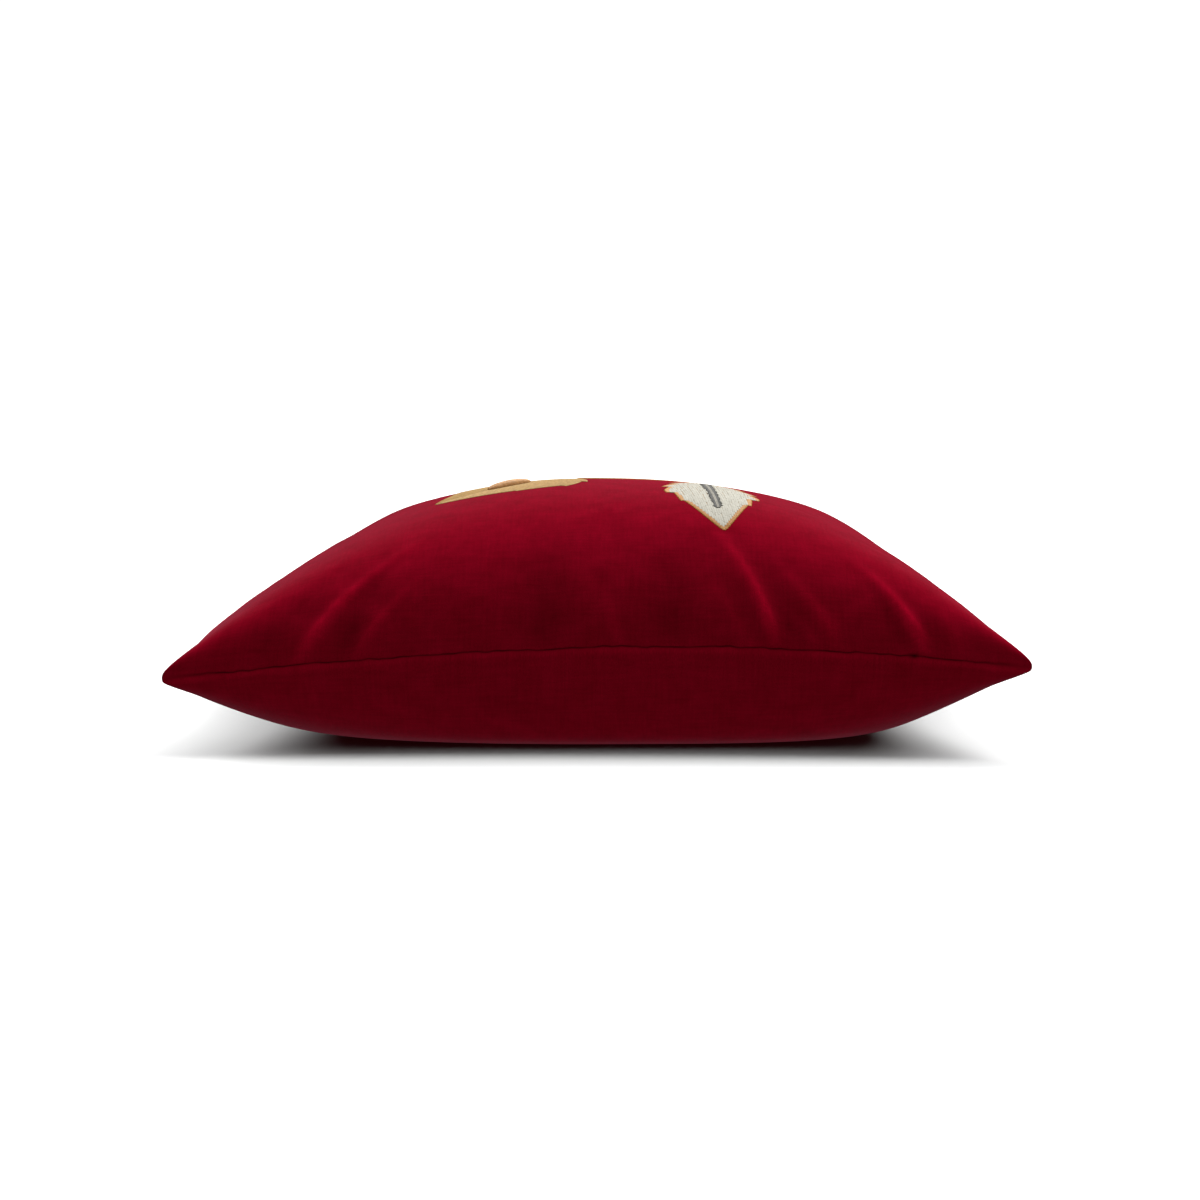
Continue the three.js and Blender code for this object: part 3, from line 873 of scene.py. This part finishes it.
class Leaf:
    """A leaf's own coordinates: s runs from its root to its tip, and t across it, left is positive."""

    def __init__(self, root, heading, length, stalk, half_width, sweep, teeth):
        self.root, self.length, self.stalk = root, length, stalk
        self.half_width, self.sweep, self.teeth = half_width, sweep, teeth
        self.heading = math.radians(heading)
        self.blade = length - stalk

    def place(self, s, t):
        """Plan points of leaf coordinates."""
        s, t = np.asarray(s, float), np.asarray(t, float)
        swing = self.sweep * (s / self.length) ** 2
        turn = np.arctan(2 * self.sweep * s / self.length**2)
        ahead = self.heading + turn
        x = self.root[0] + math.cos(self.heading) * s - math.sin(self.heading) * swing
        y = self.root[1] + math.sin(self.heading) * s + math.cos(self.heading) * swing
        return np.stack([x - np.sin(ahead) * t, y + np.cos(ahead) * t], -1)

    def share(self, s):
        """Share of the way from a blade's start, 0, to its tip, 1."""
        return (s - self.stalk) / self.blade

    def stretch(self, span):
        """Where a stretch given in shares of the blade starts and ends."""
        return [self.stalk + share * self.blade for share in span]

    def edge(self, s):
        """Half width with teeth, at a distance s from the root."""
        share = np.clip(self.share(np.asarray(s, float)), 0, 1)
        rising = np.sin(np.pi / 2 * np.clip(share / WIDEST, 0, 1)) ** BASE_BOW
        falling = np.clip((1 - share) / (1 - WIDEST), 0, 1) ** TAPER
        bow = np.where(share < WIDEST, rising, falling)
        narrow = np.where(share < WIDEST, STALK_HALF_WIDTH, TIP_HALF_WIDTH)
        smooth = mix(narrow, self.half_width, bow)
        tooth = (TOOTHED[1] - TOOTHED[0]) / self.teeth
        phase = (share - TOOTHED[0]) / tooth
        toothed = (phase > 0) & (phase < self.teeth)
        return smooth + np.where(toothed, TOOTH_DEPTH * (np.mod(phase, 1) - 0.5), 0)


def runs(inside):
    """Start and end indices of the stretches where a row of flags is set."""
    padded = np.concatenate([[False], inside, [False]])
    change = np.flatnonzero(padded[1:] != padded[:-1])
    return list(zip(change[::2], change[1::2] - 1))


def backing(name, leaf, material, inset):
    """A thin closed patch under a leaf's stitches."""
    s = np.linspace(leaf.stalk * BACKING_STALK, leaf.length - BACKING_TIP_GAP, BACKING_ROWS)
    across = np.linspace(-1, 1, BACKING_COLUMNS)
    half = np.maximum(leaf.edge(s) - inset, BACKING_LEAST)
    grid_s, grid_t = s[:, None] + 0 * across[None, :], half[:, None] * across[None, :]
    plan_points = leaf.place(grid_s, grid_t)
    lift = np.full(grid_s.shape, BACKING_LIFT)
    low, _ = over_cloth(plan_points[..., 0], plan_points[..., 1], lift - BACKING_THICKNESS)
    high, _ = over_cloth(plan_points[..., 0], plan_points[..., 1], lift)
    rows, columns = grid_s.shape
    index = np.arange(rows * columns).reshape(rows, columns)
    other = index + rows * columns

    def wall(upper, lower):
        return np.stack([upper[:-1], upper[1:], lower[1:], lower[:-1]], -1)

    quads = [grid_faces(other)[:, ::-1], grid_faces(index)]
    quads.append(wall(other[:, -1], index[:, -1])[:, ::-1])
    quads.append(wall(other[:, 0], index[:, 0]))
    quads.append(wall(other[0, :], index[0, :])[:, ::-1])
    quads.append(wall(other[-1, :], index[-1, :]))
    shade = np.full(2 * rows * columns, 0.5)
    points = np.concatenate([low, high])
    return new_object(name, points, np.concatenate(quads), material, values={"shade": shade})


def along_fill(leaf, pitch, length, inset, step=0.5):
    """Long stitches that run with a leaf, in rows side by side, split at uneven lengths."""
    starts, ends = [], []
    s = np.arange(leaf.stalk, leaf.length - FILL_TIP_GAP, step)
    rows = np.arange(-leaf.half_width - TOOTH_DEPTH, leaf.half_width + TOOTH_DEPTH, pitch)

    def row_at(row, s):
        return row * (1 - ROW_CONVERGENCE * leaf.share(s))

    for row in rows:
        inside = np.abs(row_at(row, s)) < leaf.edge(s) - inset
        for first, last in runs(inside):
            at, stop = s[first], s[last]
            at_end = at + length * rng.uniform(*FIRST_LENGTHS)
            while at < stop - SHORTEST_IVORY:
                at_end = min(at_end, stop)
                if stop - at_end < SHORTEST_REST:
                    at_end = stop
                wobble = rng.normal(0, pitch * ROW_WOBBLE, 2)
                starts.append(leaf.place(at, row_at(row, at) + wobble[0]))
                ends.append(leaf.place(at_end, row_at(row, at_end) + wobble[1]))
                at = at_end - ROW_OVERLAP
                at_end = at + length * rng.uniform(*IVORY_LENGTHS)
    return np.array(starts), np.array(ends)


def slanted_fill(leaf, pitch, length, inset, slant, step=0.4):
    """Short stitches in slanting rows on both sides of a leaf's middle, like a woven fill."""
    starts, ends = [], []
    cosine, sine = math.cos(slant), math.sin(slant)
    for side in (-1, 1):
        rows = np.arange(-leaf.half_width * GOLD_LEAD, leaf.blade, pitch / sine)
        for number, begin in enumerate(rows):
            reach = np.arange(step / 2, leaf.half_width * GOLD_REACH / sine, step)
            s = leaf.stalk + begin + reach * cosine
            t = reach * sine
            in_blade = (s > leaf.stalk) & (s < leaf.length - FILL_TIP_GAP)
            inside = (t < leaf.edge(s) - inset) & in_blade
            for first, last in runs(inside):
                at = reach[first]
                at_end = at + length * GOLD_STAGGER[number % 3]
                while at < reach[last] - SHORTEST_GOLD:
                    at_end = min(at_end, reach[last])
                    for place, store in ((at, starts), (at_end, ends)):
                        store.append(leaf.place(leaf.stalk + begin + place * cosine, side * place * sine))
                    at = at_end
                    at_end = at + length * rng.uniform(*GOLD_LENGTHS)
    return np.array(starts), np.array(ends)


def border(leaf, pitch, width):
    """Satin stitches across the rim of a leaf, on both sides, and over its stalk up to the stem."""
    starts, ends = [], []
    for s in np.arange(leaf.stalk, leaf.length + BORDER_PAST_TIP, pitch):
        edge = float(leaf.edge(s))
        inner = max(edge - width * rng.uniform(*BORDER_WIDTHS), -BORDER_PAST_MIDDLE)
        for side in (-1, 1):
            starts.append(leaf.place(s, side * (edge + rng.uniform(*BORDER_RAGGED))))
            ends.append(leaf.place(s - BORDER_LEAN, side * inner))
    for s in np.arange(-STALK_JOIN, leaf.stalk + 1, pitch):
        starts.append(leaf.place(s + BORDER_LEAN, STALK_HALF_WIDTH))
        ends.append(leaf.place(s - BORDER_LEAN, -STALK_HALF_WIDTH))
    return np.array(starts), np.array(ends)


def dress(piece, slot, *nodes):
    """Attaches a piece of needlework to the cover's body, so that it moves with the cover, and hides the
    nodes of the solids that it stands for.
    """
    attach(piece, "root")
    if nodes:
        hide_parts(*nodes)


def ivory_leaf(name, leaf):
    """Long ivory stitches over a tan ground, with a gold border and a grey vein."""
    patch = backing("backing_" + name, leaf, TAN, inset=0.8)
    dress(patch, "gold_thread")
    fill = along_fill(leaf, **IVORY_ROWS)
    width = rng.normal(*IVORY_WIDTH, len(fill[0]))
    piece = stitches("fill_" + name, *fill, IVORY, width, **IVORY_STITCH)
    dress(piece, "ivory_thread", "leaf_" + name)
    rim = border(leaf, **IVORY_BORDER)
    piece = stitches("border_" + name, *rim, GOLD, **BORDER_STITCH)
    dress(piece, "gold_thread")
    vein(name, leaf)


def vein(name, leaf):
    """A light grey middle with dark, uneven stitches that lean out of it on both sides."""
    first, last = leaf.stretch(VEIN_SPAN)

    def narrow_at(s):
        return mix(*VEIN_NARROWING, (s - first) / (last - first))

    starts, ends = [], []
    for s in np.arange(first, last, VEIN_EDGE_PITCH):
        narrow = narrow_at(s) * min(1.0, VEIN_END_SHARE + (last - s) / VEIN_END_LENGTH)
        for side in (-1, 1):
            inner, outer = VEIN_EDGE_START * narrow, rng.uniform(*VEIN_EDGE_REACH) * narrow
            starts.append(leaf.place(s, side * inner))
            ends.append(leaf.place(s + outer * VEIN_EDGE_LEAN, side * outer))
    piece = stitches("vein_edges_" + name, starts, ends, DARK_GREY, **VEIN_EDGE_STITCH)
    dress(piece, "grey_thread")
    starts, ends = [], []
    for row in VEIN_ROWS:
        s = first
        while s < last - VEIN_SHORTEST:
            step = rng.uniform(*VEIN_LENGTHS)
            t = row * narrow_at(s)
            starts.append(leaf.place(s, t))
            ends.append(leaf.place(min(s + step, last), t))
            s += step - VEIN_OVERLAP
    piece = stitches("vein_" + name, starts, ends, LIGHT_GREY, **VEIN_STITCH)
    dress(piece, "grey_thread", "vein_grey_" + name.replace("ivory_", ""))


def gold_leaf(name, leaf):
    """Short gold stitches in slanting rows, with a border of the same thread and a copper bud."""
    patch = backing("backing_" + name, leaf, GOLD_FILL, inset=1.0)
    dress(patch, "gold_thread")
    fill = slanted_fill(leaf, **GOLD_ROWS)
    piece = stitches("fill_" + name, *fill, GOLD_FILL, **GOLD_STITCH)
    dress(piece, "gold_thread", "leaf_" + name)
    rim = border(leaf, **GOLD_BORDER)
    piece = stitches("border_" + name, *rim, GOLD_FILL, **BORDER_STITCH)
    dress(piece, "gold_thread")
    bud(name, leaf)


def bud(name, leaf):
    """A padded bud of satin stitches across the middle of a gold leaf."""
    first, last = leaf.stretch(BUD_SPAN)
    s = np.arange(first, last, BUD_PITCH)
    share = (s - first) / (last - first)
    full = np.sin(np.pi * mix(BUD_BLUNTNESS, 1 - BUD_BLUNTNESS, share)) ** BUD_FULLNESS
    half = BUD_HALF_WIDTH * full
    starts = leaf.place(s + BUD_LEAN, half)
    ends = leaf.place(s - BUD_LEAN, -half)
    piece = stitches("bud_" + name, starts, ends, COPPER, height=BUD_RISE * full, **BUD_STITCH)
    dress(piece, "copper_thread", "bud_copper_" + name.replace("gold_", ""))


def stem():
    """The sprig's stem: slanting satin stitches, raised in the middle."""
    start, bend, stop = np.array(STEM_ROUTE)
    share = np.linspace(0, 1, STEM_STITCHES)[:, None]
    path = (1 - share) ** 2 * start + 2 * share * (1 - share) * bend + share**2 * stop
    ahead = np.gradient(path, axis=0)
    ahead /= np.linalg.norm(ahead, axis=1, keepdims=True)
    across = np.stack([-ahead[:, 1], ahead[:, 0]], 1)
    half = mix(*STEM_HALF_WIDTH, np.minimum(1, share / STEM_NARROWED))
    starts = path + across * half + ahead * STEM_LEAN
    ends = path - across * half - ahead * STEM_LEAN
    piece = stitches("stem", starts, ends, GOLD, **STEM_STITCH)
    dress(piece, "gold_thread", "stem_gold")


for leaf_name, facts in LEAVES.items():
    make = ivory_leaf if leaf_name.startswith("ivory") else gold_leaf
    make(leaf_name, Leaf(*facts))
stem()


# Floor, light and camera


# A floor of so many metres. Strong lamps shine on it alone and turn its dark grey white, so that the
# shadow stays deep.
FLOOR_SIZE = 60
FLOOR_COLOUR = (0.1, 0.1, 0.1, 1.0)

# Lamps: elevation, azimuth and softness in degrees, power, and whether only the floor is lit.
LAMPS = {
    "key": (45, -12, 30, 6.8, False),
    "floor_back": (35, 0, 40, 27.0, True),
    "floor_left": (30, 45, 40, 29.3, True),
    "floor_right": (50, -90, 50, 29.9, True),
    "floor_front": (40, 180, 50, 4.5, True),
}
WORLD_LIGHT = 0.4
WORLD_SEEN = 1.1

# The camera's place and its lens and sensor in millimetres, its tilt down in degrees, and how many
# metres away it still sees.
CAMERA_PLACE = (1.7, -2197.0, 192.5)
CAMERA_TILT = 3.0
CAMERA_LENS = 105
CAMERA_SENSOR = 36
CAMERA_REACH = 100


def floor_plane():
    bpy.ops.mesh.primitive_plane_add(size=FLOOR_SIZE, location=(0, 0, 0))
    floor = bpy.context.object
    floor.name = "floor"
    floor.visible_diffuse = False
    paint = Nodes("floor_grey")
    paint.set(Base_Color=FLOOR_COLOUR, Roughness=1.0, Specular_IOR_Level=0.0)
    floor.data.materials.append(paint.material)
    return floor


def lamp(name, elevation, azimuth, softness, power, floor_only, floor):
    """A broad distant light. Azimuth 0 shines from behind the pillow towards the camera."""
    data = bpy.data.lights.new(name, "SUN")
    data.energy = power
    data.angle = math.radians(softness)
    light = bpy.data.objects.new(name, data)
    light.rotation_euler = (math.radians(elevation - 90), 0, math.radians(azimuth))
    bpy.context.collection.objects.link(light)
    receivers = bpy.data.collections.new(name + "_receivers")
    receivers.objects.link(floor)
    light.light_linking.receiver_collection = receivers
    state = "INCLUDE" if floor_only else "EXCLUDE"
    receivers.collection_objects[0].light_linking.link_state = state


def surroundings():
    """A white background for the camera, which lights the pillow less than it shows."""
    world = bpy.data.worlds.new("studio")
    bpy.context.scene.world = world
    world.use_nodes = True
    nodes, links = world.node_tree.nodes, world.node_tree.links
    background = nodes["Background"]
    background.inputs["Color"].default_value = (1, 1, 1, 1)
    seen = nodes.new("ShaderNodeLightPath")
    strength = nodes.new("ShaderNodeMix")
    strength.inputs["A"].default_value = WORLD_LIGHT
    strength.inputs["B"].default_value = WORLD_SEEN
    links.new(seen.outputs["Is Camera Ray"], strength.inputs["Factor"])
    links.new(strength.outputs["Result"], background.inputs["Strength"])


def studio():
    floor = floor_plane()
    for name, facts in LAMPS.items():
        lamp(name, *facts, floor)
    surroundings()


def camera():
    data = bpy.data.cameras.new("camera")
    data.lens = CAMERA_LENS
    data.sensor_width = CAMERA_SENSOR
    data.clip_end = CAMERA_REACH
    piece = bpy.data.objects.new("camera", data)
    piece.location = [value * MM for value in CAMERA_PLACE]
    piece.rotation_euler = (math.radians(90 - CAMERA_TILT), 0, 0)
    bpy.context.collection.objects.link(piece)
    bpy.context.scene.camera = piece


studio()
camera()
bpy.context.scene.view_settings.view_transform = "Standard"
